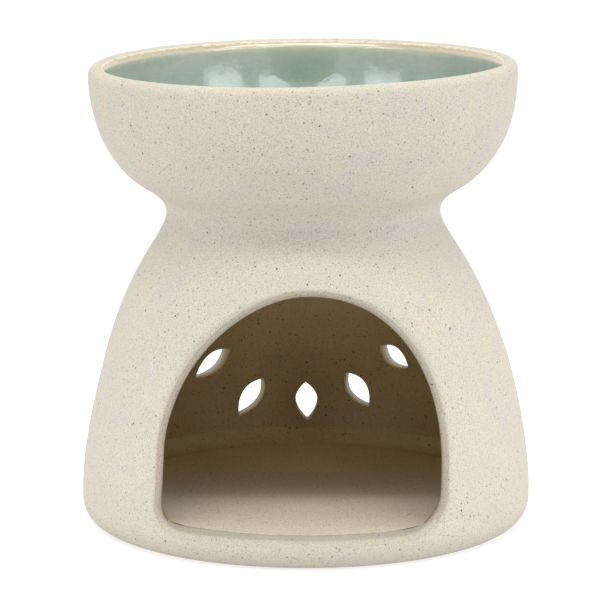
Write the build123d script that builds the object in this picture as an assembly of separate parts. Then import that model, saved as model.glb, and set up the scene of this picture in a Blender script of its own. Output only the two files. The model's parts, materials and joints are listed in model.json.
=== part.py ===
from build123d import *
import os

# An essential oil burner in speckled stoneware: a glazed bowl on a hollow chamber for a tealight.
# Sizes are in millimetres. The foot stands on Z = 0, +Z is up and the mouth faces -Y.

# Overall shape
burner_height = 113.8
belly_radius = 55.0
belly_height = 7.5
foot_rounding = 6.4
neck_radius = 33.4
neck_height = 76.8
rim_radius = 52.3

# Clay of the chamber
chamber_wall_thickness = 4.5
floor_thickness = 7.6
foot_ring_width = 9.0
foot_recess_depth = 2.6
coil_height = 3.6
coil_reach = 4.4

# Clay and glaze of the bowl
bowl_wall_thickness = 4.2
bowl_floor_thickness = 5.4
spigot_depth = 3.0
slip_thickness = 0.6
glaze_thickness = 0.5
glaze_edge_setback = 1.2
glaze_band_drop = 2.2

# Mouth for the tealight, cut down to the floor
mouth_width = 66.0
mouth_height = 54.9
mouth_jamb_height = 11.4
mouth_corner_radius = 4.5
mouth_edge_rounding = 1.4

# Petal vents in the back wall
petal_length = 11.0
petal_width = 5.6
petal_tip_rounding = 0.5

# How far a cut runs past what it cuts
overrun = 5.0

# Outside of the dome between belly and neck: shares of its rise and of its narrowing
dome_shares = ((0.27, 0.085), (0.59, 0.355), (0.84, 0.725), (0.935, 0.925))

# Outside of the bowl between neck and rim: shares of its rise and of its widening
bowl_shares = ((0.07, 0.03), (0.225, 0.37), (0.355, 0.625), (0.51, 0.807), (0.715, 0.934))

# Shares of the way up the outside at which the inside is laid off square to it
chamber_inset_shares = (0.0, 0.2, 0.4, 0.6, 0.8, 0.9, 1.0)
bowl_inset_shares = (0.38, 0.50, 0.62, 0.75, 0.88, 1.0)

# Share of the bowl's inner radius over which its floor is level
level_floor_share = 0.45

# Each hand-cut petal: its bearing from +Y towards +X and its lean, in degrees, and its height as a
# share of the neck's height
petal_bearings = (-30.6, -16.2, 0.2, 15.4, 28.1)
petal_leans = (54, 32, -3, -32, -56)
petal_height_shares = (0.397, 0.266, 0.245, 0.290, 0.415)

# Share of a petal's length that lies below its widest place
petal_lower_share = 0.55

# Sizes that follow from the ones above
rim_rounding = bowl_wall_thickness / 2
rim_middle = rim_radius - rim_rounding
rim_shoulder = burner_height - rim_rounding
floor_radius = belly_radius - foot_rounding
spigot_radius = neck_radius - chamber_wall_thickness - slip_thickness
spigot_bottom = neck_height - spigot_depth
bowl_underside = neck_height + slip_thickness
bowl_floor_height = bowl_underside + bowl_floor_thickness
glaze_edge_radius = rim_middle - glaze_edge_setback
glaze_band_bottom = burner_height - glaze_band_drop
clear_radius = max(belly_radius, rim_radius) + overrun


def at(radius, height):
    """A point of a turned section, which lies in the XZ plane."""
    return Vector(radius, 0, height)


def section(*edges):
    """A face bounded by the edges."""
    return make_face(Curve() + list(edges))


def slab(low, high, radius=clear_radius):
    """Section of a disc round the Z axis between two heights."""
    return section(Polyline(at(0, low), at(radius, low), at(radius, high), at(0, high), at(0, low)))


def smooth_line(points, start=(0, 0, 1)):
    """A smooth line through the points, at even speed, that ends straight up and starts so if not told."""
    return Spline(*points, tangents=(start, (0, 0, 1)), tangent_scalars=(1, 1))


def dome_side():
    """Outside of the dome, from the belly up to the neck."""
    rise = neck_height - belly_height
    narrowing = belly_radius - neck_radius
    between = [at(belly_radius - narrowing * across, belly_height + rise * up) for up, across in dome_shares]
    return smooth_line([at(belly_radius, belly_height), *between, at(neck_radius, neck_height)])


def bowl_side():
    """Outside of the bowl, from the neck up to where the rim starts to round over."""
    rise = rim_shoulder - neck_height
    widening = rim_radius - neck_radius
    between = [at(neck_radius + widening * across, neck_height + rise * up) for up, across in bowl_shares]
    return smooth_line([at(neck_radius, neck_height), *between, at(rim_radius, rim_shoulder)])


def laid_off_inside(side, distance, shares):
    """Points a distance inside the outer line, square to it."""
    return [(side @ share) - Vector((side % share).Z, 0, -(side % share).X) * distance for share in shares]


def chamber_outline():
    """Section of the chamber up to the neck, as if it were solid."""
    rounding = TangentArc(at(floor_radius, 0), at(belly_radius, foot_rounding), tangent=(1, 0, 0))
    belly = Line(at(belly_radius, foot_rounding), at(belly_radius, belly_height))
    core = Polyline(at(neck_radius, neck_height), at(0, neck_height), at(0, 0), at(floor_radius, 0))
    return section(rounding, belly, dome_side(), core)


def chamber_hollow():
    """Section of the space in the chamber, from its floor up to the neck."""
    points = laid_off_inside(dome_side(), chamber_wall_thickness, chamber_inset_shares)
    foot = at(points[0].X, 0)
    core = Polyline(points[-1], at(0, neck_height), at(0, 0), foot, points[0])
    return section(smooth_line(points), core) - slab(0, floor_thickness)


def bowl_outline():
    """Section of the bowl from the neck up to the rim, as if it were solid."""
    rounding = TangentArc(at(rim_radius, rim_shoulder), at(rim_middle, burner_height), tangent=(0, 0, 1))
    core = Polyline(at(rim_middle, burner_height), at(0, burner_height), at(0, neck_height),
                    at(neck_radius, neck_height))
    return section(bowl_side(), rounding, core)


def bowl_hollow(skin):
    """Section of the space in the bowl, widened by a skin all round."""
    floor = bowl_floor_height - skin
    walls = laid_off_inside(bowl_side(), bowl_wall_thickness - skin, bowl_inset_shares)
    level_end = at(walls[0].X * level_floor_share, floor)
    side = smooth_line([level_end, *walls], start=(1, 0, 0))
    rounding = TangentArc(walls[-1], at(rim_middle, burner_height - skin), tangent=(0, 0, 1))
    core = Polyline(at(rim_middle, burner_height - skin), at(rim_middle, burner_height + overrun),
                    at(0, burner_height + overrun), at(0, floor), level_end)
    return section(side, rounding, core)


def spigot():
    """Section of the plug under the bowl, which drops into the neck."""
    return slab(spigot_bottom, bowl_underside, spigot_radius)


def petal_punch(bearing, lean, height):
    """A leaf-shaped punch, pushed level out through the back wall."""
    lower = petal_length * petal_lower_share
    tip = (0, petal_length - lower)
    stem = (0, -lower)
    right = ThreePointArc(stem, (petal_width / 2, 0), tip)
    left = ThreePointArc(tip, (-petal_width / 2, 0), stem)
    leaf = section(right, left)
    leaf = fillet(leaf.vertices(), petal_tip_rounding)
    upright_leaf = Rot(90, 0, 0) * Rot(0, 0, -lean) * leaf
    return extrude(Pos(0, 0, height) * Rot(0, 0, -bearing) * upright_leaf, -(belly_radius + overrun))


def mouth_punch():
    """The arched punch that opens the front, pushed level from the axis out through the wall."""
    half = mouth_width / 2
    jamb_top = floor_thickness + mouth_jamb_height
    arch = EllipticalCenterArc((0, jamb_top), half, mouth_height - mouth_jamb_height, arc_size=180)
    sides = Polyline((-half, jamb_top), (-half, floor_thickness), (half, floor_thickness), (half, jamb_top))
    outline = section(arch, sides)
    corners = outline.vertices().group_by(Axis.Y)[0]
    outline = fillet(corners, mouth_corner_radius)
    return extrude(Plane.XZ * outline, belly_radius + overrun)


def mouth_rim(wall):
    """The outer edges of the mouth, which are the foremost edge of each face in its reveal."""
    reveal = [face for face in wall.faces() if face.center().Y < -neck_radius / 2]
    return [face.edges().sort_by(Axis.Y)[0] for face in reveal]


def chamber_wall():
    """The dome on its foot, with the mouth and the petals cut through it."""
    foot = slab(0, floor_thickness, floor_radius)
    wall = revolve(chamber_outline() - chamber_hollow() - foot, Axis.Z)
    wall = wall - mouth_punch()
    wall = fillet(mouth_rim(wall), mouth_edge_rounding)
    for bearing, lean, share in zip(petal_bearings, petal_leans, petal_height_shares):
        wall = wall - petal_punch(bearing, lean, neck_height * share)
    return wall


def chamber_floor():
    """The slab inside the foot, hollowed underneath so that it stands on a ring."""
    recess = slab(0, foot_recess_depth, floor_radius - foot_ring_width)
    return revolve(slab(0, floor_thickness, floor_radius) - recess, Axis.Z)


def floor_coil():
    """The coil of clay smoothed into a cove in the corner of floor and wall, and cut away at the mouth."""
    wall_radius = belly_radius - chamber_wall_thickness
    coil_top = floor_thickness + coil_height
    toe = at(wall_radius - coil_reach, floor_thickness)
    brow = at(wall_radius, coil_top)
    cove = TangentArc(toe, brow, tangent=(1, 0, 0))
    back = Polyline(brow, at(belly_radius, coil_top), at(belly_radius, floor_thickness), toe)
    block = section(cove, back)
    return revolve(block & chamber_hollow(), Axis.Z) - mouth_punch()


def neck_slip():
    """The slip that joins the bowl to the neck, under the bowl and round its plug."""
    under = bowl_outline() & slab(neck_height, bowl_underside)
    around = chamber_hollow() & slab(spigot_bottom, neck_height)
    return revolve(under + around - spigot(), Axis.Z)


def glaze_coat():
    """Section of all the glaze: a skin on the inside of the bowl that ends on the inner lip of its rim."""
    coat = bowl_hollow(glaze_thickness) - bowl_hollow(0)
    return coat & slab(bowl_underside, burner_height, glaze_edge_radius)


def oil_bowl():
    """The thrown bowl, less its coat of glaze, on the plug that drops into the neck."""
    above_slip = bowl_outline() & slab(bowl_underside, burner_height)
    return revolve(above_slip - bowl_hollow(0) - glaze_coat() + spigot(), Axis.Z)


def bowl_glaze():
    """The celadon coat from the bowl's floor up to the lip."""
    return revolve(glaze_coat() & slab(bowl_underside, glaze_band_bottom), Axis.Z)


def rim_glaze_band():
    """The band on the inner lip where the glaze runs thin and the clay's iron shows through."""
    return revolve(glaze_coat() & slab(glaze_band_bottom, burner_height), Axis.Z)


pieces = {
    "chamber_wall": chamber_wall(),
    "chamber_floor": chamber_floor(),
    "floor_coil": floor_coil(),
    "neck_slip": neck_slip(),
    "oil_bowl": oil_bowl(),
    "bowl_glaze": bowl_glaze(),
    "rim_glaze_band": rim_glaze_band(),
}

os.makedirs("parts", exist_ok=True)
for node, piece in pieces.items():
    export_step(piece, f"parts/{node}.step")
    print(node, round(piece.volume / 1000, 2), "ml")
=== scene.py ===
# %% [markdown]
# # An essential oil burner in speckled stoneware
#
# The real object is one fired pot. A potter throws a dome and a bowl and joins them at the neck,
# cuts an arched mouth for a tealight and five petals that let its air through, and pours a
# grey-green glaze into the bowl only. The clay outside stays bare.
#
# This lesson builds it the same way. Each piece is turned from its section, the openings are cut
# and their edges wiped round, and clay and glaze are mixed from noise at several scales. The
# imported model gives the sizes, and every piece stands exactly where its solid stands.

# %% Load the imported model
import json
import math

import bmesh
import bpy
import numpy as np
from mathutils import Vector
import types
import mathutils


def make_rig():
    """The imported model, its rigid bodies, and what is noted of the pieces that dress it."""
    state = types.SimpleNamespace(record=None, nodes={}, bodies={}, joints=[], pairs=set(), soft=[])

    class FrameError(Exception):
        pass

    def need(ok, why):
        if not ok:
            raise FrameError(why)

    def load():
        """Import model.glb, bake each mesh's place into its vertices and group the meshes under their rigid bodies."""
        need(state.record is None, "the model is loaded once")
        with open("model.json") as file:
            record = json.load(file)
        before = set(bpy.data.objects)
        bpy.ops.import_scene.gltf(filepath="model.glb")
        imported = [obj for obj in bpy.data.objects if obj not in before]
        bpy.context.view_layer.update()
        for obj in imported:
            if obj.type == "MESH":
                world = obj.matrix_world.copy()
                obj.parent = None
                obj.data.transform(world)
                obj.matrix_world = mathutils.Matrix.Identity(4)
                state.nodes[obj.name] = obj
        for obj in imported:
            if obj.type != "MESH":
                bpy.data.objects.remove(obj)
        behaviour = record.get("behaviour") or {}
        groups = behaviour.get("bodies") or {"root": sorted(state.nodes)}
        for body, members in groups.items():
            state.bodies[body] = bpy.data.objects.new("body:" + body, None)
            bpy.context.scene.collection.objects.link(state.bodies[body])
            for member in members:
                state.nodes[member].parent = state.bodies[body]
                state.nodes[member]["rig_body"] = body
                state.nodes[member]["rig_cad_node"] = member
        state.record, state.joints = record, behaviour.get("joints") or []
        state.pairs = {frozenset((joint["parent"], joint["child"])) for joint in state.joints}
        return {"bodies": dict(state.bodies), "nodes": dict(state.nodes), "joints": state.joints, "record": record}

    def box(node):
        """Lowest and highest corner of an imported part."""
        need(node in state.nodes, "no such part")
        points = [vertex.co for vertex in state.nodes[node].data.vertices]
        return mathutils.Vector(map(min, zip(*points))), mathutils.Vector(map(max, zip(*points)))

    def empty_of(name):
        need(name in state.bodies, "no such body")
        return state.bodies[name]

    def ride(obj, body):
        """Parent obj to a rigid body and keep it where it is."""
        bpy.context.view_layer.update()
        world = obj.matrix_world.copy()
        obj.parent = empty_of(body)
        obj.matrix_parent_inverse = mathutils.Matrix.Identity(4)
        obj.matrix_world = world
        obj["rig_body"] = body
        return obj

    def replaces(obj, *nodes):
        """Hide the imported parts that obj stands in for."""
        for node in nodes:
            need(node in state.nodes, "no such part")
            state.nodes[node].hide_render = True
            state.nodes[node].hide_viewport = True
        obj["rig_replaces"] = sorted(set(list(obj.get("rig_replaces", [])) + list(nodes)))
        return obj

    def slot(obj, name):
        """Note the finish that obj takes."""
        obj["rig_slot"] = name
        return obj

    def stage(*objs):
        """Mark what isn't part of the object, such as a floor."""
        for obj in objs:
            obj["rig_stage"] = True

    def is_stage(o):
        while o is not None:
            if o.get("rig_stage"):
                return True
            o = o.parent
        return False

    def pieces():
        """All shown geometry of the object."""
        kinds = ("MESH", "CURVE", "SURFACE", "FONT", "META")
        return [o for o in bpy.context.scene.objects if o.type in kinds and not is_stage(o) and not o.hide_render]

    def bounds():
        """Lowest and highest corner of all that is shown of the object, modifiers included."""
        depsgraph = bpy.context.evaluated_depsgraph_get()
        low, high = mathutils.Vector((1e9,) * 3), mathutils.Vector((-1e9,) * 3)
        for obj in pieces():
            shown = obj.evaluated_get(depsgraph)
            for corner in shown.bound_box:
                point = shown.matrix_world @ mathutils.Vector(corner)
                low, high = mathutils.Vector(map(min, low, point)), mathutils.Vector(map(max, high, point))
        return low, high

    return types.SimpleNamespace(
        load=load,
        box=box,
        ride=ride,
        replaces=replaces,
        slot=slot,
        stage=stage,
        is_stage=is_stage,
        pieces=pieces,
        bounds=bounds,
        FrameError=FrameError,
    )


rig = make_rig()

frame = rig.load()
cad_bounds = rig.bounds()
print("nodes:", ", ".join(sorted(frame["nodes"])))

# %% [markdown]
# Blender works in metres and this pot is thought out in millimetres, so one named unit turns
# the one into the other. Heights and radii are read from the solids themselves.

# %% Sizes read from the solids
mm = 0.001
belly_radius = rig.box("chamber_wall")[1].x
neck_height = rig.box("chamber_wall")[1].z
floor_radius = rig.box("chamber_floor")[1].x
floor_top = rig.box("chamber_floor")[1].z
rim_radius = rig.box("oil_bowl")[1].x
burner_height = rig.box("oil_bowl")[1].z
plug_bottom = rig.box("neck_slip")[0].z
bowl_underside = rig.box("neck_slip")[1].z
band_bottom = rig.box("rim_glaze_band")[0].z
glaze_edge_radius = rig.box("rim_glaze_band")[1].x
print(f"belly {belly_radius / mm:.1f} mm, rim {rim_radius / mm:.1f} mm,",
      f"height {burner_height / mm:.1f} mm")

# %% [markdown]
# The camera comes first, because every later choice is judged through it. The photograph was
# taken with a long lens from a little above the rim: the ellipses of rim and foot give the
# height, and how much flatter the one is than the other gives the distance.

# %% Camera
camera_distance = 840 * mm
camera_height = 212 * mm
camera_side = -1.4 * mm
camera_tilt = math.radians(10.63)

camera = bpy.data.objects.new("camera", bpy.data.cameras.new("camera"))
bpy.context.scene.collection.objects.link(camera)
camera.location = (camera_side, -camera_distance, camera_height)
camera.rotation_euler = (math.pi / 2 - camera_tilt, 0, 0)
camera.data.lens = 210
camera.data.sensor_width = 36
bpy.context.scene.camera = camera
print("camera at", tuple(round(x, 3) for x in camera.location))

# %% [markdown]
# ## The line of the pot
#
# A thrown pot is known by its outline. It could be drawn with many short edges, but a smooth line
# through a few points turns better: its bend changes without a jump, so light slides over the
# clay as it does over the real one. The points are shares of the rise and of the narrowing.

# %% A smooth line through a few points
def smooth_line(points, start, end, count=400):
    """Even steps along the smoothest line through the points, with a direction at each end."""
    knots = np.array(points, float)
    steps = np.linalg.norm(np.diff(knots, axis=0), axis=1)
    system = np.eye(len(knots))
    slopes = np.zeros((len(knots), 2))
    slopes[0], slopes[-1] = start, end
    for i in range(1, len(knots) - 1):
        before, after = steps[i - 1], steps[i]
        system[i, i - 1:i + 2] = after, 2 * (before + after), before
        rise_before, rise_after = (knots[i] - knots[i - 1]) / before, (knots[i + 1] - knots[i]) / after
        slopes[i] = 3 * (after * rise_before + before * rise_after)
    slopes = np.linalg.solve(system, slopes)
    stations = np.concatenate([[0], np.cumsum(steps)])
    line = []
    for station in np.linspace(0, stations[-1], count):
        i = min(np.searchsorted(stations, station, "right") - 1, len(steps) - 1)
        t = (station - stations[i]) / steps[i]
        line.append((2 * t**3 - 3 * t**2 + 1) * knots[i] + (t**3 - 2 * t**2 + t) * steps[i] * slopes[i]
                    + (3 * t**2 - 2 * t**3) * knots[i + 1] + (t**3 - t**2) * steps[i] * slopes[i + 1])
    return np.array(line)


def arc(center, radius, start, end, count):
    """Points of an arc in the section, with its angles in degrees from the outward direction."""
    turn = np.radians(np.linspace(start, end, count))
    return np.column_stack([center[0] + radius * np.cos(turn), center[1] + radius * np.sin(turn)])


def laid_off_inside(line, distance):
    """The line moved inwards, square to itself, by one distance or by one for each of its points."""
    along = np.gradient(line, axis=0)
    along /= np.linalg.norm(along, axis=1)[:, None]
    return line + np.column_stack([-along[:, 1], along[:, 0]]) * np.reshape(distance, (-1, 1))


def eased(value, start, end):
    """Rises smoothly from 0 at the start to 1 at the end."""
    t = np.clip((value - start) / (end - start), 0, 1)
    return t * t * (3 - 2 * t)


def even_steps(line, step):
    """The same line with points about one step apart."""
    way = np.concatenate([[0], np.cumsum(np.linalg.norm(np.diff(line, axis=0), axis=1))])
    stations = np.linspace(0, way[-1], max(2, round(way[-1] / step) + 1))
    return np.column_stack([np.interp(stations, way, line[:, k]) for k in range(line.shape[1])])


# %% [markdown]
# The dome turns in under its belly to a narrower foot and closes in to the neck. Its inside is laid
# off from the outside at the clay's thickness, as a potter feels it between two fingers, and has a
# bore at the bottom for the floor.

# %% The dome, outside and inside
straight_up = (0, 1)


def side_line(low, high, shares):
    """A side of the pot from one point of its section up to another, through shares of the way."""
    (start, foot), (end, top) = low, high
    points = [(start + (end - start) * across, foot + (top - foot) * rise) for rise, across in shares]
    return smooth_line(points, straight_up, straight_up)


def radius_along(line):
    """A function that gives a line's radius at a height."""
    return lambda height: np.interp(height, line[:, 1], line[:, 0])


belly_height = 7.5 * mm
neck_radius = 33.4 * mm
wall_thickness = 4.5 * mm
foot_rounding = belly_radius - floor_radius
dome_shares = ((0, 0), (0.27, 0.085), (0.59, 0.355), (0.84, 0.725), (0.935, 0.925), (1, 1))

dome_line = side_line((belly_radius, belly_height), (neck_radius, neck_height), dome_shares)
dome_outside = np.vstack([arc((floor_radius, foot_rounding), foot_rounding, -90, 0, 40), dome_line])
dome_inside = laid_off_inside(dome_line, wall_thickness)
foot_ledge = 0.8 * mm
dome_inside = dome_inside[dome_inside[:, 1] > floor_top + foot_ledge]
dome_inside = np.vstack([(floor_radius, 0), (floor_radius, floor_top), dome_inside])
outside_radius, inside_radius = radius_along(dome_outside), radius_along(dome_inside)
print(f"40 mm up, the chamber's inner radius is {inside_radius(40 * mm) / mm:.1f} mm")

# %% [markdown]
# The bowl swings out from the neck and ends in a round lip as wide as its wall. Its inside follows
# the outside only higher up. Lower down it sweeps over to a level floor, where the oil gathers
# over the flame.

# %% The bowl, outside and inside
bowl_thickness = 4.2 * mm
bowl_floor = bowl_underside + 5.4 * mm
lip_rounding = bowl_thickness / 2
lip_middle = rim_radius - lip_rounding
lip_shoulder = burner_height - lip_rounding
bowl_shares = ((0, 0), (0.07, 0.03), (0.225, 0.37), (0.355, 0.625), (0.51, 0.807), (0.715, 0.934),
               (1, 1))
inside_shares = (0.38, 0.50, 0.62, 0.75, 0.88, 1.0)
level_floor_share = 0.45

bowl_line = side_line((neck_radius, neck_height), (rim_radius, lip_shoulder), bowl_shares)
bowl_walls = laid_off_inside(bowl_line, bowl_thickness)
bowl_walls = [bowl_walls[round(share * (len(bowl_walls) - 1))] for share in inside_shares]
level_end = (bowl_walls[0][0] * level_floor_share, bowl_floor)
bowl_inside = smooth_line([level_end, *bowl_walls], (1, 0), straight_up)
print(f"94 mm up, the bowl's inner radius is {radius_along(bowl_inside)(94 * mm) / mm:.1f} mm")

# %% [markdown]
# ## Turning
#
# A turned piece is drawn as half a section, point by point with extrude, and swept once round the
# axis by a Screw modifier, which is a lathe if it doesn't climb. The spin operator would do the
# same, only slower. One degree to a step is fine enough for a smooth outline. First and last
# column lie on top of each other, so doubles are merged and then the normals recalculated.

# %% Draw a section and turn it
columns = 360
merge_distance = 0.002 * mm
crease_angle = math.radians(35)


def only(piece):
    """Makes a piece the only selected and the active one."""
    bpy.ops.object.select_all(action="DESELECT")
    piece.select_set(True)
    bpy.context.view_layer.objects.active = piece


def edit_all():
    """Opens the active piece for editing, with all of it selected."""
    bpy.ops.object.mode_set(mode="EDIT")
    bpy.ops.mesh.select_all(action="SELECT")


def close_up(piece):
    """Merges doubles, turns the faces outwards and shades the piece smooth but for its sharp edges."""
    edit_all()
    bpy.ops.mesh.remove_doubles(threshold=merge_distance)
    bpy.ops.mesh.normals_make_consistent(inside=False)
    bpy.ops.object.mode_set(mode="OBJECT")
    bpy.ops.object.shade_smooth_by_angle(angle=crease_angle)


def turned(name, section):
    """A piece turned from its section, a line of (radius, height) that closes or ends on the axis."""
    bpy.ops.mesh.primitive_plane_add(size=mm, location=(section[0][0], 0, section[0][1]))
    piece = bpy.context.object
    piece.name = piece.data.name = name
    bpy.ops.object.transform_apply()
    edit_all()
    bpy.ops.mesh.merge(type="CENTER")
    for across, rise in np.diff(section, axis=0):
        bpy.ops.mesh.extrude_region_move(TRANSFORM_OT_translate={"value": (across, 0, rise)})
    bpy.ops.object.mode_set(mode="OBJECT")
    lathe = piece.modifiers.new("lathe", "SCREW")
    lathe.steps = lathe.render_steps = columns
    lathe.use_merge_vertices = True
    lathe.merge_threshold = merge_distance
    bpy.ops.object.modifier_apply(modifier=lathe.name)
    close_up(piece)
    return piece


def report(piece):
    """Prints how many faces a piece has, and how many of its edges don't have exactly two."""
    mesh = bmesh.new()
    mesh.from_mesh(piece.data)
    open_edges = sum(len(edge.link_faces) != 2 for edge in mesh.edges)
    print(f"{piece.name}: {len(mesh.faces)} faces, {open_edges} open edges")
    mesh.free()


# %% [markdown]
# The chamber's wall is one closed ring of clay: out over the foot, up the outside, over the neck
# and down the inside. Its rows have the same heights outside and inside, because every opening
# later takes out a block of faces on both sides and needs as many points on the one as on the other.

# %% The chamber wall
foot_line = 5.4 * mm
rows = 72
row_heights = np.linspace(foot_line, neck_height, rows + 1)
foot_arc = dome_outside[dome_outside[:, 1] < foot_line - 0.3 * mm][::4]
wall_section = np.vstack([
    foot_arc,
    np.column_stack([outside_radius(row_heights), row_heights]),
    np.column_stack([inside_radius(row_heights), row_heights])[::-1],
    foot_arc[:1]])
chamber_wall = turned("thrown_chamber", wall_section)
report(chamber_wall)

# %% [markdown]
# ## Openings
#
# A knife through leather-hard clay leaves a sharp edge, which the potter then wipes round with a
# wet sponge. A boolean would cut as fast, but it leaves ragged faces that shade badly. So a block
# of faces is taken out of both skins of the wall, and a sleeve is pulled through the hole ring by
# ring: from the block's edge in to the cut, over the wiped edge, through the wall and out again.

# %% Points on a skin of the wall, and the edge of a block
def on_skin(radius_at, bearing, height):
    """Points on a skin of the wall. A bearing turns from +Y towards +X."""
    radius = radius_at(height)
    return np.column_stack([radius * np.sin(bearing), radius * np.cos(bearing), height])


def bearings_of(radius_at, bearing, outline):
    """Bearings at which a cut, pushed level through the wall, meets a skin of it."""
    return bearing + np.arcsin(outline[:, 0] / radius_at(outline[:, 1]))


def block_edge(first_column, last_column, first_row, last_row):
    """Bearings and heights round a block, from the middle of its lower side towards its last column."""
    middle = (first_column + last_column) // 2
    corners = ((middle, first_row), (last_column, first_row), (last_column, last_row),
               (first_column, last_row), (first_column, first_row), (middle, first_row))
    sides = [np.linspace(start, end, round(math.dist(start, end)), endpoint=False)
             for start, end in zip(corners, corners[1:])]
    column, row = np.round(np.vstack(sides)).astype(int).T
    return np.column_stack([np.radians(column), row_heights[row]])


# %% [markdown]
# Block and cut need equally many points, which pair off one by one. So every outline is divided
# evenly, and it can be moved outwards, to where its wiped edge begins.

# %% Closed outlines
def close_line(points, count):
    """A closed line as so many points at even steps, from the same first point."""
    loop = np.vstack([points, points[:1]])
    way = np.concatenate([[0], np.cumsum(np.linalg.norm(np.diff(loop, axis=0), axis=1))])
    stations = np.linspace(0, way[-1], count, endpoint=False)
    return np.column_stack([np.interp(stations, way, loop[:, k]) for k in range(2)])


def moved_out(outline, distance):
    """A closed outline moved away from its opening, square to itself."""
    along = np.roll(outline, -1, axis=0) - np.roll(outline, 1, axis=0)
    along /= np.linalg.norm(along, axis=1)[:, None]
    return outline + distance * np.column_stack([along[:, 1], -along[:, 0]])


# %% The rings of a sleeve
def spread(radius_at, edge, bearing, outline, steps):
    """Rings on a skin from the block's edge in to an outline."""
    target = np.column_stack([bearings_of(radius_at, bearing, outline), outline[:, 1]])
    rings = [(1 - t) * edge + t * target for t in np.linspace(0, 1, steps + 1)]
    return [on_skin(radius_at, ring[:, 0], ring[:, 1]) for ring in rings]


def wiped_edge(radius_at, bearing, outline, into, width, steps):
    """Rings over a rounded edge of some width as seen along the cut, from the skin into the cut."""
    wide = moved_out(outline, width)
    face = on_skin(radius_at, bearings_of(radius_at, bearing, wide), wide[:, 1])
    corner = on_skin(radius_at, bearings_of(radius_at, bearing, outline), outline[:, 1])
    reach = np.linalg.norm(corner - face, axis=1)[:, None]
    inner = corner + reach * into
    turn = np.sum((corner - face) / reach * into, axis=1)[:, None]
    pull = np.sqrt((1 + turn) / 2)
    rings = []
    for t in np.linspace(0, 1, steps + 1):
        shares = (1 - t) ** 2, 2 * pull * t * (1 - t), t ** 2
        rings.append((shares[0] * face + shares[1] * corner + shares[2] * inner) / sum(shares))
    return rings


def sleeve_rings(bearing, outline, edge, outer_wipe, inner_wipe, spread_steps, wipe_steps):
    """All rings of a sleeve, from the block's edge on the outside to its edge on the inside."""
    out = np.array([math.sin(bearing), math.cos(bearing), 0])
    rings = spread(outside_radius, edge, bearing, moved_out(outline, outer_wipe), spread_steps)
    rings += wiped_edge(outside_radius, bearing, outline, -out, outer_wipe, wipe_steps)[1:]
    inner = wiped_edge(inside_radius, bearing, outline, out, inner_wipe, wipe_steps // 2)[::-1]
    rings += [(1 - t) * rings[-1] + t * inner[0] for t in (0.25, 0.5, 0.75)]
    rings += inner
    rings += spread(inside_radius, edge, bearing, moved_out(outline, inner_wipe), spread_steps)[-2::-1]
    return rings


# %% [markdown]
# With its rings known, a sleeve is a circle that is extruded onto one ring after the other. Its
# points note how far along the wiped edge they lie, where the clay later takes painted shade.

# %% Take out a block and pull a sleeve through the hole
edge_shade_share = "edge_shade_share"


def take_out(piece, edge):
    """Deletes the faces of a block from both skins of a turned piece."""
    low, high = edge.min(axis=0), edge.max(axis=0)
    middle, half = (low[0] + high[0]) / 2, (high[0] - low[0]) / 2
    only(piece)
    bpy.ops.object.mode_set(mode="EDIT")
    bpy.ops.mesh.select_all(action="DESELECT")
    bpy.context.tool_settings.mesh_select_mode = (False, False, True)
    mesh = bmesh.from_edit_mesh(piece.data)
    for face in mesh.faces:
        x, y, z = face.calc_center_median()
        off_middle = (math.atan2(x, y) - middle + math.pi) % (2 * math.pi) - math.pi
        face.select_set(bool(abs(off_middle) < half and low[1] < z < high[1]))
    bmesh.update_edit_mesh(piece.data)
    bpy.ops.mesh.delete(type="FACE")
    bpy.context.tool_settings.mesh_select_mode = (True, False, False)
    bpy.ops.object.mode_set(mode="OBJECT")


def sleeve(name, rings, wiped=()):
    """A sleeve drawn ring by ring: a circle is laid on the first one and extruded to each next one."""
    bpy.ops.mesh.primitive_circle_add(vertices=len(rings[0]), radius=mm)
    piece = bpy.context.object
    piece.name = name
    edit_all()
    for k, ring in enumerate(rings):
        if k:
            bpy.ops.mesh.extrude_edges_move()
        mesh = bmesh.from_edit_mesh(piece.data)
        for vertex, place in zip([v for v in mesh.verts if v.select], ring):
            vertex.co = place
        bmesh.update_edit_mesh(piece.data)
    bpy.ops.object.mode_set(mode="OBJECT")
    # The share along the wiped edge is kept on the points, to place painted shade on the clay.
    if len(wiped):
        share = piece.data.attributes.new(edge_shade_share, "FLOAT", "POINT")
        share.data.foreach_set("value", np.repeat(wiped, len(rings[0])))
    return piece


def let_in(piece, sleeves):
    """Joins sleeves to the wall that they go through, which learns where its wiped edges take painted shade."""
    only(piece)
    for part in sleeves:
        part.select_set(True)
    bpy.ops.object.join()
    close_up(piece)


# %% [markdown]
# The mouth is an arch, rounder than a half ellipse at its shoulders. It leans a little to the
# right on its way up, and its two lower corners differ, as a hand with a knife would leave them.

# %% The mouth's outline
mouth_half = 32.95 * mm
arch_top = 62.4 * mm
left_jamb, right_jamb = 26 * mm, 19 * mm
left_fullness, right_fullness = 1.8, 2.2
mouth_lean = 0.031
mouth_offset = 1.4 * mm
left_corner, right_corner = 5.3 * mm, 9 * mm
mouth_columns, mouth_rows = 48, 63
mouth_steps = 8


def mouth_outline():
    """The mouth as seen from inside the chamber: across, which grows towards -X, and height."""
    turn = np.linspace(0, math.pi, 400)[1:-1]
    across, up = np.cos(turn), np.sin(turn)
    fullness = 2 / np.where(across > 0, left_fullness, right_fullness)
    jamb = np.where(across > 0, left_jamb, right_jamb)
    arch = np.column_stack([mouth_half * np.sign(across) * np.abs(across) ** fullness,
                            jamb + (arch_top - jamb) * up ** fullness])
    left = arc((mouth_half - left_corner, floor_top + left_corner), left_corner, -90, 0, 16)
    right = arc((right_corner - mouth_half, floor_top + right_corner), right_corner, -180, -90, 24)
    outline = np.vstack([(0, floor_top), left, (mouth_half, left_jamb),
                         arch, (-mouth_half, right_jamb), right])
    outline[:, 0] += mouth_offset - mouth_lean * (outline[:, 1] - floor_top)
    return outline


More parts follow.
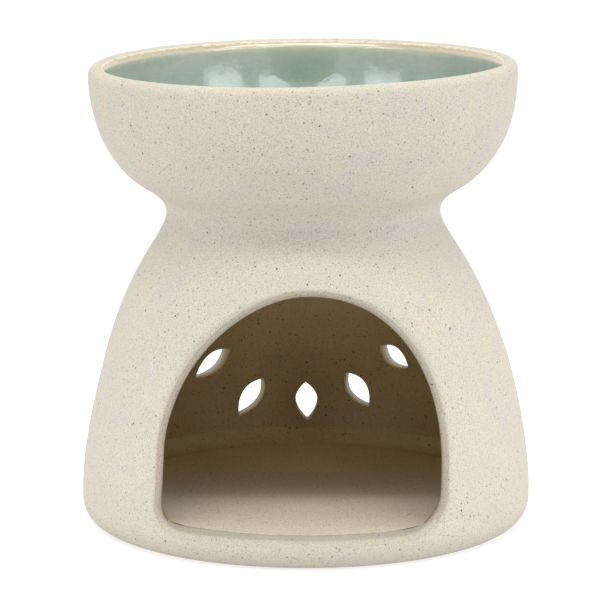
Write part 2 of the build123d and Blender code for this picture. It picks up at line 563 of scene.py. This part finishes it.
mouth_block = block_edge(columns // 2 - mouth_columns, columns // 2 + mouth_columns, 0, mouth_rows)
mouth_rings = sleeve_rings(math.pi, close_line(mouth_outline(), len(mouth_block)), mouth_block,
                           outer_wipe=1.65 * mm, inner_wipe=0.2 * mm,
                           spread_steps=mouth_steps, wipe_steps=mouth_steps)
take_out(chamber_wall, mouth_block)
mouth_edge_shade = np.interp(np.arange(len(mouth_rings)), (mouth_steps - 1, mouth_steps + 1), (0, 1))
mouth_sleeve = sleeve("mouth_sleeve", mouth_rings, mouth_edge_shade)
print(f"mouth {np.ptp(mouth_outline()[:, 0]) / mm:.1f} mm wide, {len(mouth_block)} points round")

# %% [markdown]
# Five petals let air in behind the flame. Each was pushed through with a leaf-shaped punch, so it
# has two pointed tips and is widest a little above its middle. They fan out around the one in the
# centre, each at its own height and lean.

# %% The petals
# Each petal's bearing from +Y in degrees, height and length in mm, and lean in degrees
petals = ((-29.8, 30.4, 11.8, 54), (-16.2, 20.4, 11.6, 32), (0.2, 18.8, 10.45, -3),
          (15.4, 22.3, 10.7, -32), (28.1, 31.9, 9.4, -56))
petal_width = 5.6 * mm
petal_lower_share = 0.55
smoothings = 12
side_margin, end_margin = 0.8, 1.2 * mm


def petal_outline(length, lean, height):
    """A leaf as seen from inside the chamber, from its lower tip round its right side."""
    lower, upper = petal_lower_share * length, (1 - petal_lower_share) * length
    along = np.concatenate([np.linspace(-lower, 0, 80)[:-1], np.linspace(0, upper, 80)])
    half = petal_width / 2 * (1 - (along / np.where(along < 0, lower, upper)) ** 2)
    leaf = np.vstack([np.column_stack([half, along]), np.column_stack([-half, along])[-2:0:-1]])
    for _ in range(smoothings):
        leaf = (np.roll(leaf, 1, axis=0) + 2 * leaf + np.roll(leaf, -1, axis=0)) / 4
    turn = np.array([[math.cos(lean), -math.sin(lean)], [math.sin(lean), math.cos(lean)]])
    return leaf @ turn + (0, height)


petal_sleeves = []
for number, (bearing, height, length, lean) in enumerate(petals):
    outline = petal_outline(length * mm, math.radians(lean), height * mm)
    reach = math.degrees(np.abs(outline[:, 0]).max() / inside_radius(height * mm)) + side_margin
    low, high = outline[:, 1].min() - end_margin, outline[:, 1].max() + end_margin
    block = block_edge(math.floor(bearing - reach), math.ceil(bearing + reach),
                       np.searchsorted(row_heights, low) - 1, np.searchsorted(row_heights, high))
    take_out(chamber_wall, block)
    across, rise = ((block - block.mean(axis=0)) * (outside_radius(height * mm), 1)).T
    tip = outline[0] - outline.mean(axis=0)
    nearest = np.argmax((across * tip[0] + rise * tip[1]) / np.hypot(across, rise))
    block = np.roll(block, -nearest, axis=0)
    rings = sleeve_rings(math.radians(bearing), close_line(outline, len(block)), block,
                         outer_wipe=0.4 * mm, inner_wipe=0.4 * mm, spread_steps=4, wipe_steps=6)
    petal_sleeves.append(sleeve(f"petal_sleeve_{number}", rings))
let_in(chamber_wall, [mouth_sleeve, *petal_sleeves])
report(chamber_wall)

# %% [markdown]
# ## The other pieces
#
# The floor is a slab trimmed to sit inside the wall's foot, and hollowed underneath so that the
# pot stands on a ring. Its edges are softened, which leaves the fine seam that shows on the sill.

# %% The chamber's floor
def filled_in(step, *lines):
    """Lines joined end to end, with points added wherever two of them lie further apart than a step."""
    points = np.vstack(lines)
    line = [points[0]]
    for start, end in zip(points, points[1:]):
        pieces = max(1, math.ceil(np.linalg.norm(end - start) / step))
        line += [start + (end - start) * k / pieces for k in range(1, pieces + 1)]
    return np.array(line)


slab_step = 2 * mm
soft, soft_top = 0.3 * mm, 0.08 * mm
ring_inside = floor_radius - 9 * mm
recess_top = 2.6 * mm
recess_rounding = 4 * soft

chamber_floor = turned("chamber_floor_slab", filled_in(
    slab_step,
    [(0, floor_top)],
    arc((floor_radius - soft_top, floor_top - soft_top), soft_top, 90, 0, 5),
    arc((floor_radius - soft, soft), soft, 0, -90, 6),
    arc((ring_inside + soft, soft), soft, -90, -180, 6),
    arc((ring_inside - recess_rounding, recess_top - recess_rounding), recess_rounding, 0, 90, 8),
    [(0, recess_top)]))
report(chamber_floor)

# %% [markdown]
# A coil of soft clay is pressed into the corner of floor and wall and smoothed to a cove. It stops
# where the mouth is cut, so it isn't spun: its section is carried from one side of the mouth round
# to the other, and each of its points starts and ends on the mouth's own outline.

# %% The coil in the corner
coil_reach, coil_height = 4.4 * mm, 3.6 * mm
coil_end_reach, coil_end_height = 1.95 * mm, 0.85 * mm
coil_taper = 9 * mm
coil_columns = 300


def coil_section(share):
    """Section of the coil, from its thin end at share 0 to its full size at share 1."""
    reach = coil_end_reach + (coil_reach - coil_end_reach) * share
    height = coil_end_height + (coil_height - coil_end_height) * share
    wall = inside_radius(floor_top + height)
    radius = (reach ** 2 + height ** 2) / (2 * height)
    end = -90 + 2 * math.degrees(math.atan2(height, reach))
    cove = arc((wall - reach, floor_top + radius), radius, -90, end, 12)
    cove[:, 0] = np.minimum(cove[:, 0], inside_radius(cove[:, 1]))
    return filled_in(coil_reach, cove, [(floor_radius, floor_top)])


outline = mouth_outline()
left_side = outline[outline[:, 0] > mouth_offset]
right_side = outline[outline[:, 0] < mouth_offset][::-1]
coil_length = (2 * math.pi - 2 * math.asin(mouth_half / floor_radius)) * floor_radius
coil_rings = []
for t in np.linspace(0, 1, coil_columns + 1):
    nearest_end = min(t, 1 - t) * coil_length
    section = coil_section(eased(nearest_end, 0, coil_taper))
    sides = (np.interp(section[:, 1], side[:, 1], side[:, 0]) for side in (left_side, right_side))
    starts, ends = (math.pi + np.arcsin(side / section[:, 0]) for side in sides)
    bearing = (1 - t) * starts + t * (ends + 2 * math.pi)
    coil_rings.append(on_skin(lambda height: section[:, 0], bearing, section[:, 1]))
floor_coil = sleeve("corner_coil", coil_rings)
edit_all()
bpy.ops.mesh.fill_holes(sides=0)
bpy.ops.object.mode_set(mode="OBJECT")
close_up(floor_coil)
report(floor_coil)

# %% [markdown]
# The bowl closes the neck with a plug, and a thin ring of slip glues the two together. On the
# fired pot the joint is smoothed over: the three outlines meet in one line with no step.

# %% The slip in the neck joint
plug_radius = neck_radius - wall_thickness - (bowl_underside - neck_height)
joint_radius = radius_along(bowl_line)(bowl_underside)
neck_slip = turned("neck_joint_slip", filled_in(
    slab_step,
    [(neck_radius, neck_height), (joint_radius, bowl_underside)],
    [(plug_radius, bowl_underside), (plug_radius, plug_bottom)],
    [(inside_radius(plug_bottom), plug_bottom)],
    [(neck_radius - wall_thickness, neck_height), (neck_radius, neck_height)]))
report(neck_slip)

# %% [markdown]
# Glaze is poured into the bowl and wiped from the rim. It is half a millimetre thick and thins out
# to nothing on the inner lip, so it is drawn first, and the clay takes its underside as its own.

# %% Lines of the glaze
glaze_thickness = 0.5 * mm
glaze_feather = 2.5 * mm
thinnest_glaze = 0.03 * mm
glaze_end = math.degrees(math.acos((glaze_edge_radius - lip_middle) / lip_rounding))
bowl_step = 1 * mm

glaze_top = np.vstack([
    even_steps(np.vstack([[(0, bowl_floor)], bowl_inside]), bowl_step),
    arc((lip_middle, lip_shoulder), lip_rounding, 180, glaze_end, 8)[1:]])
way = np.cumsum(np.linalg.norm(np.diff(glaze_top, axis=0, append=glaze_top[-1:]), axis=1))
thickness = np.maximum(glaze_thickness * eased(way[-1] - way, 0, glaze_feather), thinnest_glaze)
glaze_bottom = laid_off_inside(glaze_top, -thickness)
glaze_bottom[0] = (0, bowl_floor - glaze_thickness)
band_start = np.searchsorted(glaze_top[:, 1], band_bottom)

# %% [markdown]
# The bowl is one section: under the plug, up the outside, over the lip and back down below the
# glaze. Glaze and lip band then fill the rest, so the three never overlap and no gap shows.

# %% The bowl
oil_bowl = turned("thrown_bowl", np.vstack([
    filled_in(slab_step, [(0, plug_bottom)],
              arc((plug_radius - soft, plug_bottom + soft), soft, -90, 0, 5),
              [(plug_radius, bowl_underside), (joint_radius, bowl_underside)]),
    even_steps(bowl_line[bowl_line[:, 1] > bowl_underside + 0.2 * mm], bowl_step),
    arc((lip_middle, lip_shoulder), lip_rounding, 0, glaze_end, 16)[1:],
    glaze_bottom[::-1]]))
report(oil_bowl)

# %% The coat of glaze and the band on its lip
bowl_glaze = turned("celadon_coat", np.vstack([
    glaze_top[:band_start + 1], glaze_bottom[band_start::-1]]))
lip_band = turned("lip_glaze", np.vstack([
    glaze_top[band_start:], glaze_bottom[:band_start - 1:-1], glaze_top[band_start:band_start + 1]]))
report(bowl_glaze)
report(lip_band)

# %% [markdown]
# A glaze changes colour with its depth below the lip. The lip will soon be tilted, so each point
# notes its depth now, while the pot is still level.

# %% How far each point of the glaze lies below the lip
lip_depth = "lip_depth"


def points_of(piece):
    """Places of all points of a piece, one to a row."""
    places = np.empty(3 * len(piece.data.vertices))
    piece.data.vertices.foreach_get("co", places)
    return places.reshape(-1, 3)


for piece in (bowl_glaze, lip_band):
    depth = piece.data.attributes.new(lip_depth, "FLOAT", "POINT")
    depth.data.foreach_set("value", (glaze_top[:, 1].max() - points_of(piece)[:, 2]) / mm)

# %% [markdown]
# ## The hand in it
#
# So far the pot is as true as a machine part. The real one isn't: the bowl sits a little to the
# left of the foot, its rim rises to the right, and the wall swells and shrinks by hairs. One
# function moves every point of every piece alike, so pieces that touch still touch. It keeps the
# pot inside the box of its solids, which is the largest that it may be.

# %% Bend every piece alike
rim_slope, slope_growth = 0.0148, 0.0068
rim_drop = 0.95 * mm
sag = 0.35 * mm
out_of_round = 0.12 * mm
swelling = 0.10 * mm
lifting, sagging, firm_again = (81 * mm, 111 * mm), (76 * mm, 81 * mm), (94 * mm, 84 * mm)

# Waves round the pot: how many, how high, where they start and how fast they twist on the way up
waves = ((2, 1, 0.6, 18), (3, 0.6, -1.1, -25), (5, 0.4, 2.0, 40))

# At each height, how far the pot sits to the right and how much thinner it is, all in mm
hand = np.array(((0, 0, 0), (18, 0.08, 0.15), (36, 0.19, 0.4), (54, -0.19, 0.54), (66, -0.33, 0.72),
                 (76.8, -0.56, 0.14), (84, -0.78, 0), (92, -0.52, 0.12), (104, -0.5, 0.31),
                 (114, -0.7, 0.45))) * mm
aside_at, thinner_at = (radius_along(smooth_line(hand[:, (column, 0)], straight_up, straight_up))
                        for column in (1, 2))


def by_hand(points):
    """Points of a true pot moved to where a hand would have left them."""
    x, y, z = points.T.copy()
    bearing = np.arctan2(x, y)
    radius = np.hypot(x, y)
    uneven = sum(size * np.sin(count * bearing + start + twist * z)
                 for count, size, start, twist in waves)
    rings = np.sin(z / (3.1 * mm) + 0.8 * np.sin(bearing + 0.5)) * np.sin(z / (11 * mm) + 1.0)
    shrink = out_of_round * (1 + uneven / 2) / 2 + swelling * (1 + rings) / 2
    shrink += np.maximum(thinner_at(z), 0)
    narrower = 1 - shrink * np.clip(radius / belly_radius, 0, 1) / np.maximum(radius, mm)
    raised = eased(z, *lifting)
    sunk = sag * eased(z, *sagging) * eased(z, *firm_again)
    slope = rim_slope - slope_growth * y / rim_radius
    return np.column_stack([x * narrower + aside_at(z),
                            y * narrower,
                            z + raised * (x * slope - rim_drop) - sunk])


for piece in (chamber_wall, chamber_floor, floor_coil, neck_slip, oil_bowl, bowl_glaze, lip_band):
    piece.data.vertices.foreach_set("co", by_hand(points_of(piece)).ravel())
    piece.data.update()
bowl_heights = [corner[2] / mm for corner in oil_bowl.bound_box]
print(f"the bowl now reaches from {min(bowl_heights):.1f} to {max(bowl_heights):.1f} mm up")

# %% [markdown]
# ## Clay
#
# Bare stoneware is a sandy mix: pale clay, sand grains, and iron specks that bleed a little in the
# fire. Close by it is all grain; from a step away soft warm and cool clouds show, where the kiln's
# air touched it. So its colour is mixed from noise at several scales, and the specks are cells of a
# Voronoi pattern of which only some are let through. All of it reads Object coordinates, so the
# pattern runs on across the joints between the pieces.
#
# Materials and the tent's light are mixed node by node. That would take pages by hand, so a small
# class knows the steps that come back.

# %% Helpers for materials
def linear(red, green, blue):
    """A colour as a screen shows it, from 0 to 255, as the linear colour that a shader takes."""
    parts = [c / 255 for c in (red, green, blue)]
    return (*(c / 12.92 if c <= 0.04045 else ((c + 0.055) / 1.055) ** 2.4 for c in parts), 1)


class Mixer:
    """A node tree that is built up step by step."""

    def __init__(self, tree):
        self.nodes, self.links = tree.nodes, tree.links

    def give(self, socket, value):
        """Sets a socket to a value, or links it to one."""
        if isinstance(value, bpy.types.NodeSocket):
            self.links.new(value, socket)
        else:
            socket.default_value = value

    def add(self, kind, inputs=None, **settings):
        """Adds a node, with its settings and with a value or a link for each of its inputs."""
        node = self.nodes.new(kind)
        for key, value in settings.items():
            setattr(node, key, value)
        for key, value in (inputs or {}).items():
            self.give(node.inputs[key], value)
        return node

    def between(self, value, low, high, start=0, end=1, **settings):
        """A value stretched from one range to another and held within it."""
        inputs = {"Value": value, "From Min": low, "From Max": high, "To Min": start, "To Max": end}
        return self.add("ShaderNodeMapRange", inputs, **settings).outputs["Result"]

    def math(self, operation, first, second=0):
        """One step of reckoning."""
        return self.add("ShaderNodeMath", {0: first, 1: second}, operation=operation).outputs[0]

    def mix(self, share, first, second, blend="MIX"):
        """Two colours mixed by a share."""
        inputs = {0: share, 6: first, 7: second}
        return self.add("ShaderNodeMix", inputs, data_type="RGBA", blend_type=blend).outputs[2]


# %% A material's own steps
class Recipe(Mixer):
    """A material that is mixed node by node, in the coordinates of its object."""

    def __init__(self, name):
        self.material = bpy.data.materials.new(name)
        self.material.use_nodes = True
        super().__init__(self.material.node_tree)
        self.shader = self.nodes["Principled BSDF"]
        self.place = self.add("ShaderNodeTexCoord").outputs["Object"]

    def set(self, **values):
        """Sets the shader's own values, or links to them."""
        for key, value in values.items():
            self.give(self.shader.inputs[key.replace("_", " ")], value)

    def noise(self, size, detail=2, roughness=0.5):
        """Soft noise from 0 to 1, whose features have about the given size in metres."""
        inputs = {"Vector": self.place, "Scale": 1 / size, "Detail": detail, "Roughness": roughness}
        return self.add("ShaderNodeTexNoise", inputs).outputs["Fac"]

    def specks(self, cell, radius, share):
        """Dots that fill a share of the cells, each with its own size up to the given radius."""
        voronoi = self.add("ShaderNodeTexVoronoi", {"Vector": self.place, "Scale": 1 / cell})
        chance = self.add("ShaderNodeSeparateColor", {"Color": voronoi.outputs["Color"]})
        chosen = self.math("LESS_THAN", chance.outputs["Red"], share)
        size = self.between(chance.outputs["Green"], 0, 1, 0.5 * radius / cell, radius / cell)
        near = self.math("DIVIDE", voronoi.outputs["Distance"], size)
        return self.math("MULTIPLY", self.between(near, 1.1, 0.5), chosen)

    def bump(self, height, depth):
        """Relief of a depth in metres."""
        relief = self.add("ShaderNodeBump", {"Height": height, "Distance": depth, "Strength": 1.0})
        self.set(Normal=relief.outputs["Normal"], Coat_Normal=relief.outputs["Normal"])


# %% [markdown]
# The whole pot is one clay, but it doesn't look alike everywhere. Painted shade darkens a faint seam
# where floor and wall meet on the sill, and more painted shade darkens the mouth's wiped edges. Both
# belong to the recipe that all the clays share.

# %% Speckled stoneware
pale = (206, 201, 190)
untinted = (1, 1, 1, 1)
edge_shade_tint = (0.69, 0.65, 0.62, 1)
grain_size = 0.3 * mm
relief_depth = 0.035 * mm
seam_half = 0.9 * mm
sill_blend = 5 * mm
far_range, side_range = (-18 * mm, 18 * mm), (12 * mm, 42 * mm)


def seam_shade(clay, radius, height):
    """Where painted shade darkens the seam groove between floor and wall on the sill, from 0 to 1."""
    off_seam = clay.math("ABSOLUTE", clay.math("SUBTRACT", radius, floor_radius))
    below_sill = clay.math("LESS_THAN", height, floor_top + 0.5 * mm)
    patchy_below_sill = clay.math("MULTIPLY", below_sill, clay.between(clay.noise(5 * mm), 0.35, 0.6, 0.2, 1))
    return clay.math("MULTIPLY", clay.between(off_seam, seam_half, 0.1 * mm, 0, 0.7), patchy_below_sill)


def stoneware(name, beige, lilac, warm, sand, speck, iron, rust, far_light_shade_tint=untinted, side_shade_tint=untinted):
    """Bare clay with soft clouds, sandy grain and iron specks, painted shade on its edges and seam, and tints at the
    back and the sides that paint light and shade.
    """
    clay = Recipe(name)
    clouds = clay.between(clay.noise(13 * mm, 3, 0.6), 0.48, 0.64)
    patches = clay.between(clay.noise(7 * mm, 3, 0.6), 0.53, 0.64)
    grain = clay.noise(grain_size, 2, 0.6)
    color = clay.mix(clouds, linear(*beige), linear(*warm))
    color = clay.mix(clay.math("MULTIPLY", patches, 0.7), color, linear(*lilac))
    color = clay.mix(clay.between(grain, 0.5, 0.7, 0, 0.8), color, linear(*sand))
    color = clay.mix(clay.between(grain, 0.48, 0.3, 0, 0.5), color, linear(*[c + 18 for c in beige]))

    # Each kind of speck: its cell and radius in mm, the share of cells it fills, strength and colour
    kinds = ((0.75, 0.17, 0.6, 0.7, speck), (1.35, 0.27, 0.75, 0.85, speck),
             (1.6, 0.22, 0.25, 0.5, pale), (2.4, 0.33, 0.36, 0.9, iron), (1.9, 0.2, 0.25, 0.5, rust))
    specks = [clay.specks(cell * mm, radius * mm, share) for cell, radius, share, *_ in kinds]
    for dots, (*_, strength, tone) in zip(specks, kinds):
        color = clay.mix(clay.math("MULTIPLY", dots, strength), color, linear(*tone))

    apart = clay.add("ShaderNodeSeparateXYZ", {"Vector": clay.place}).outputs
    level = clay.add("ShaderNodeCombineXYZ", {"X": apart["X"], "Y": apart["Y"]}).outputs[0]
    radius = clay.add("ShaderNodeVectorMath", {0: level}, operation="LENGTH").outputs["Value"]
    # Painted shade along the seam on the sill, in the sand colour.
    color = clay.mix(seam_shade(clay, radius, apart["Z"]), color, linear(*sand))

    # Painted shade on the wiped edges, less of it down on the sill.
    wiped = clay.add("ShaderNodeAttribute", attribute_name=edge_shade_share).outputs["Fac"]
    above_sill = clay.between(apart["Z"], floor_top, floor_top + sill_blend, 0.35, 1)
    # The first tint paints shade on the wiped edges, the others light and shade at the back and shade at the sides.
    tints = ((clay.math("MULTIPLY", wiped, above_sill), edge_shade_tint),
             (clay.between(apart["Y"], *far_range), far_light_shade_tint),
             (clay.between(clay.math("ABSOLUTE", apart["X"]), *side_range), side_shade_tint))
    for share, tint in tints:
        color = clay.mix(share, color, clay.mix(1.0, color, tint, "MULTIPLY"))

    roughness = clay.between(grain, 0.3, 0.7, 0.94, 0.78)
    clay.set(Base_Color=color, Roughness=roughness, Specular_IOR_Level=0.3)
    pits = clay.math("MULTIPLY", clay.math("ADD", specks[1], specks[0]), -0.5)
    relief = clay.math("ADD", clay.math("ADD", grain, pits), clay.noise(1.6 * mm))
    clay.bump(relief, relief_depth)
    return clay.material


# %% [markdown]
# Outside the clay is pale. Inside, copies of it paint light and shade. The wall's is darker and
# browner, painted shade of the closed chamber, and two tints paint lighter clay towards the back and
# darker clay at the sides. The floor's is paler and pinker, painted light, with a tint that paints
# warmer shade towards the back. The coil's is browner, painted shade of the corner, with tints like
# the wall's.

# %% The clay of each place
bare_clay = stoneware(
    "speckled_stoneware",
    beige=(178, 173, 159), lilac=(176, 170, 165), warm=(184, 173, 157), sand=(148, 141, 122),
    speck=(112, 105, 90), iron=(62, 56, 52), rust=(138, 104, 84))
# A darker, browner copy of the clay: painted shade of the chamber.
shaded_chamber_clay = stoneware(
    "chamber_stoneware_painted_shade",
    beige=(174, 152, 117), lilac=(170, 149, 117), warm=(178, 155, 115), sand=(148, 126, 94),
    speck=(58, 46, 32), iron=(42, 34, 26), rust=(100, 70, 48),
    far_light_shade_tint=(1.36, 1.46, 1.44, 1), side_shade_tint=(0.6, 0.51, 0.34, 1))
# Grain of the floor's and the coil's copies of the clay, which paint light and shade.
shaded_copy_grain = dict(sand=(158, 142, 120), speck=(106, 94, 80), iron=(60, 52, 46), rust=(132, 98, 76))
# A paler copy: painted light on the floor, with painted warm shade towards the back.
floor_clay = stoneware(
    "floor_stoneware",
    beige=(196, 185, 170), lilac=(194, 182, 169), warm=(199, 187, 169), **shaded_copy_grain,
    far_light_shade_tint=(1.1, 1.02, 0.66, 1))
# A browner copy: painted shade in the corner cove.
coil_clay = stoneware(
    "coil_stoneware",
    beige=(184, 167, 140), lilac=(181, 165, 141), warm=(187, 169, 138), **shaded_copy_grain,
    far_light_shade_tint=(1.22, 1.2, 0.88, 1), side_shade_tint=(0.7, 0.68, 0.58, 1))
print(len(bare_clay.node_tree.nodes), "nodes in the clay")

# %% [markdown]
# ## Glaze
#
# A celadon is a thick clear glass with a little iron in it. Light goes in, is tinted, meets the
# clay and comes back, so it is darker where it pooled and paler where it ran thin, and the clay's
# specks show through it. A smooth clear coat over a softer green ground gives that depth. Towards
# the lip it runs thin: green fades into a greyish tan, then comes a rusty line where the bare clay
# starts. The wet glaze also ran down the wall, so its surface swells towards the floor and ripples
# a little, which draws out what it mirrors into streaks.

# %% Celadon, and the lip where it runs thin
pooled, thick, crystal, seen_specks = (115, 132, 116), (126, 142, 127), (146, 158, 144), (78, 80, 62)
thin, tan, rusty, cream = (143, 153, 138), (180, 172, 148), (172, 150, 118), (194, 184, 162)
ripple_height = 0.014
run_depth, run_height = 16, 0.55

# The depths below the lip, in mm, at which each thinner colour starts and is full
lip_colors = (thin, 7.0, 2.2), (tan, 2.8, 1.1), (rusty, 1.25, 0.6), (cream, 0.5, 0.05)


def glaze_color(glaze, depth):
    """Colour of the glaze from the pool at the bottom up to the bare lip."""
    clouds = glaze.between(glaze.noise(9 * mm, 4, 0.6), 0.35, 0.65)
    color = glaze.mix(clouds, linear(*pooled), linear(*thick))
    crystals = glaze.between(glaze.noise(0.8 * mm, 3, 0.7), 0.5, 0.75, 0, 0.45)
    color = glaze.mix(crystals, color, linear(*crystal))
    for tone, start, full in lip_colors:
        color = glaze.mix(glaze.between(depth, start, full), color, linear(*tone))
    specks = glaze.math("MULTIPLY", glaze.specks(0.9 * mm, 0.17 * mm, 0.4), 0.5)
    return glaze.mix(specks, color, linear(*seen_specks))


def celadon(name):
    """The green glaze of the bowl, with the band on its lip."""
    glaze = Recipe(name)
    depth = glaze.add("ShaderNodeAttribute", attribute_name=lip_depth).outputs["Fac"]
    wavering = glaze.between(glaze.noise(2.2 * mm, 3, 0.6), 0.3, 0.7, -0.25, 0.25)
    depth = glaze.math("ADD", depth, wavering)
    coat = glaze.between(depth, 0.1, 0.6, 0.3, 1.0)
    glaze.set(Base_Color=glaze_color(glaze, depth), Roughness=0.35,
              Coat_Weight=coat, Coat_Roughness=0.04, Coat_IOR=1.7)
    finer = glaze.math("MULTIPLY", glaze.noise(0.9 * mm), 0.3)
    ripples = glaze.math("MULTIPLY", glaze.math("ADD", glaze.noise(3.5 * mm), finer), ripple_height)
    down = glaze.between(depth, 0.8, run_depth)
    swelling_out = glaze.math("MULTIPLY", down, glaze.math("SUBTRACT", 2, down))
    ran_down = glaze.math("MULTIPLY", swelling_out, run_height)
    glaze.bump(glaze.math("ADD", ripples, ran_down), 1 * mm)
    return glaze.material


celadon_glaze = celadon("celadon_glaze")
lip_glaze = celadon("iron_lip_glaze")

# %% [markdown]
# Each piece takes its finish and stands for its solid. The wall has two finishes, pale outside and
# darker with painted shade where it faces the chamber, and so has the floor, which is pale underneath.

# %% Finish the pieces
finishes = (
    (chamber_wall, "chamber_wall", "speckled_stoneware", [bare_clay, shaded_chamber_clay]),
    (chamber_floor, "chamber_floor", "speckled_stoneware", [floor_clay, bare_clay]),
    (floor_coil, "floor_coil", "speckled_stoneware", [coil_clay]),
    (neck_slip, "neck_slip", "joining_slip", [bare_clay]),
    (oil_bowl, "oil_bowl", "speckled_stoneware", [bare_clay]),
    (bowl_glaze, "bowl_glaze", "celadon_glaze", [celadon_glaze]),
    (lip_band, "rim_glaze_band", "iron_lip_glaze", [lip_glaze]))
for piece, node, slot, materials in finishes:
    for material in materials:
        piece.data.materials.append(material)
    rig.replaces(piece, node)
    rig.slot(piece, slot)
    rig.ride(piece, "root")

skin_depth = 1.5 * mm
# Faces that look into the chamber take the clay with its painted shade.
for face in chamber_wall.data.polygons:
    x, y, z = face.center
    if math.hypot(x, y) < inside_radius(z) + skin_depth and z > floor_top + skin_depth:
        face.material_index = 1
for face in chamber_floor.data.polygons:
    face.material_index = int(face.center.z < floor_top / 2)

# %% [markdown]
# ## Light
#
# The photograph was taken in a light tent on a white table. The table glows a little of its own, so
# that it stays white whatever the lamps do, and its glow lights the pot from below. It glows less
# close to the foot, which adds painted shadow to the soft shadow of contact there.

# %% The table
contact_glow, ring_glow, middle_glow, far_glow = 0.68, 1.35, 0.62, 0.66
contact, ring, beyond, in_view = (0.055, 0.09), (0.1, 0.22), (0.2, 1.0), (-0.5, -0.2)
bpy.ops.mesh.primitive_plane_add(size=8, location=(0, 0, 0))
floor = bpy.context.object
floor.name = "floor"
table = Recipe("white_table")
away = table.add("ShaderNodeVectorMath", {0: table.place}, operation="LENGTH").outputs["Value"]
behind = table.add("ShaderNodeSeparateXYZ", {"Vector": table.place}).outputs["Y"]
near = table.between(away, *ring, ring_glow, middle_glow)
# Less glow close to the foot: painted contact shadow on the table.
near = table.math("SUBTRACT", near, table.between(away, *contact, ring_glow - contact_glow, 0))
far = table.between(away, *beyond, 0, far_glow - middle_glow)
glow = table.math("MULTIPLY", table.math("ADD", near, far), table.between(behind, *in_view))
table.set(Base_Color=linear(165, 165, 165), Roughness=0.9, Specular_IOR_Level=0.1,
          Emission_Color=(1, 1, 1, 1), Emission_Strength=glow)
floor.data.materials.append(table.material)
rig.stage(floor)
print("table of", round(floor.dimensions.x, 1), "m")

# %% [markdown]
# A warm panel high in front shines down into the mouth, and a dimmer strip beside it softens the
# edge of the shade in the chamber. A cooler panel stands at each side and one hangs over the top.
# Those at the sides light the clay but stay out of the glaze, where the photograph shows none.

# %% Panels
def panel(name, place, size, brightness, color, mirrored=True):
    """A soft panel that faces the pot. Its brightness is that of its face, white being 1."""
    light = bpy.data.lights.new(name, "AREA")
    light.shape = "RECTANGLE"
    light.size, light.size_y = size
    light.energy = brightness * math.pi * size[0] * size[1]
    light.color = color
    lamp = bpy.data.objects.new(name, light)
    bpy.context.scene.collection.objects.link(lamp)
    lamp.location = place
    lamp.rotation_euler = (pot_middle - Vector(place)).to_track_quat("-Z", "Y").to_euler()
    lamp.visible_camera = False
    lamp.visible_glossy = mirrored


pot_middle = Vector((0, 0, 0.06))
warm, cool = (1, 0.96, 0.82), (0.85, 0.92, 1.06)
panel("top_panel", (0, -0.351, 0.636), (1.0, 0.09), 10.9, warm)
panel("top_panel_edge", (0, -0.437, 0.581), (1.0, 0.1), 2.9, warm)
panel("left_panel", (-0.7, -0.15, 0.25), (0.5, 0.6), 1.65, cool, mirrored=False)
panel("right_panel", (0.7, -0.15, 0.25), (0.5, 0.6), 2.25, cool, mirrored=False)
panel("roof_panel", (0, 0.1, 0.7), (0.8, 0.6), 1.0, cool)
print(len(bpy.data.lights), "panels")

# %% [markdown]
# The tent itself is the world's light: white behind the pot, dimmer and a little cooler in front.
# The camera looks in through a dark opening, which is why the chamber stays dark and the glaze
# mirrors a dark patch in the middle of the bowl. The cloth is lit unevenly, with a bright window on
# either side of the opening and a band over it, which the glaze mirrors as pale streaks. Each soft
# patch of light is a product of smooth ramps.

# %% The tent
front_brightness, back_brightness = 0.44, 1.0
opening_brightness = 0.05
opening_half, opening_top = math.radians(19.8), math.radians(20.5)
front_color, back_color = (0.93, 0.97, 1.04, 1), (1, 1, 1, 1)
world = bpy.data.worlds.new("tent")
bpy.context.scene.world = world
world.use_nodes = True
tent = Mixer(world.node_tree)


def ramp(value, dark_at, bright_at):
    """A soft ramp from 0 to 1."""
    return tent.between(value, dark_at, bright_at, interpolation_type="SMOOTHSTEP")


direction = tent.add("ShaderNodeTexCoord").outputs["Generated"]
across, back, up = tent.add("ShaderNodeSeparateXYZ", {0: direction}).outputs
sideways = tent.math("ABSOLUTE", tent.math("DIVIDE", across, back))
to_side = tent.math("POWER", tent.math("DIVIDE", sideways, math.tan(opening_half)), 4.0)
to_top = tent.math("POWER", tent.math("DIVIDE", tent.math("ABSOLUTE", up), math.sin(opening_top)), 4.0)
outside_opening = ramp(tent.math("ADD", to_side, to_top), 0.9, 1.12)

# Each patch's brightness, then its edges: which way they lie, where the light starts and is full
halo = (0.5, (sideways, 1.0, 0.6), (up, 0.6, 0.4), (up, -0.15, 0.0))
window = (4.1, (sideways, 0.72, 0.9), (sideways, 2.2, 1.6), (up, 0.08, 0.31), (up, 0.48, 0.36))
band = (3.2, (sideways, 0.1, 0.22), (sideways, 0.58, 0.46), (up, 0.24, 0.31), (up, 0.5, 0.38))
side = (0.6, (tent.math("ABSOLUTE", across), 0.75, 0.97))

front = front_brightness
for patch_brightness, *edges in (halo, window, band, side):
    light = patch_brightness
    for edge in edges:
        light = tent.math("MULTIPLY", light, ramp(*edge))
    front = tent.math("ADD", front, light)
front = tent.math("ADD", tent.math("MULTIPLY", front, outside_opening), opening_brightness)
behind = ramp(back, -0.2, 0.4)
brightness = tent.add("ShaderNodeMix", {0: behind, 2: front, 3: back_brightness}).outputs[0]
backdrop = tent.nodes["Background"].inputs
tent.give(backdrop["Strength"], brightness)
tent.give(backdrop["Color"], tent.mix(behind, front_color, back_color))
print(len(tent.nodes), "nodes in the tent's light")
bpy.context.scene.view_settings.view_transform = "Standard"

# %% Write both boxes and finish
with open("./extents.json", "w") as file:
    json.dump({"cad": [list(corner) for corner in cad_bounds],
               "visual": [list(corner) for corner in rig.bounds()]}, file)
print(open("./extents.json").read())
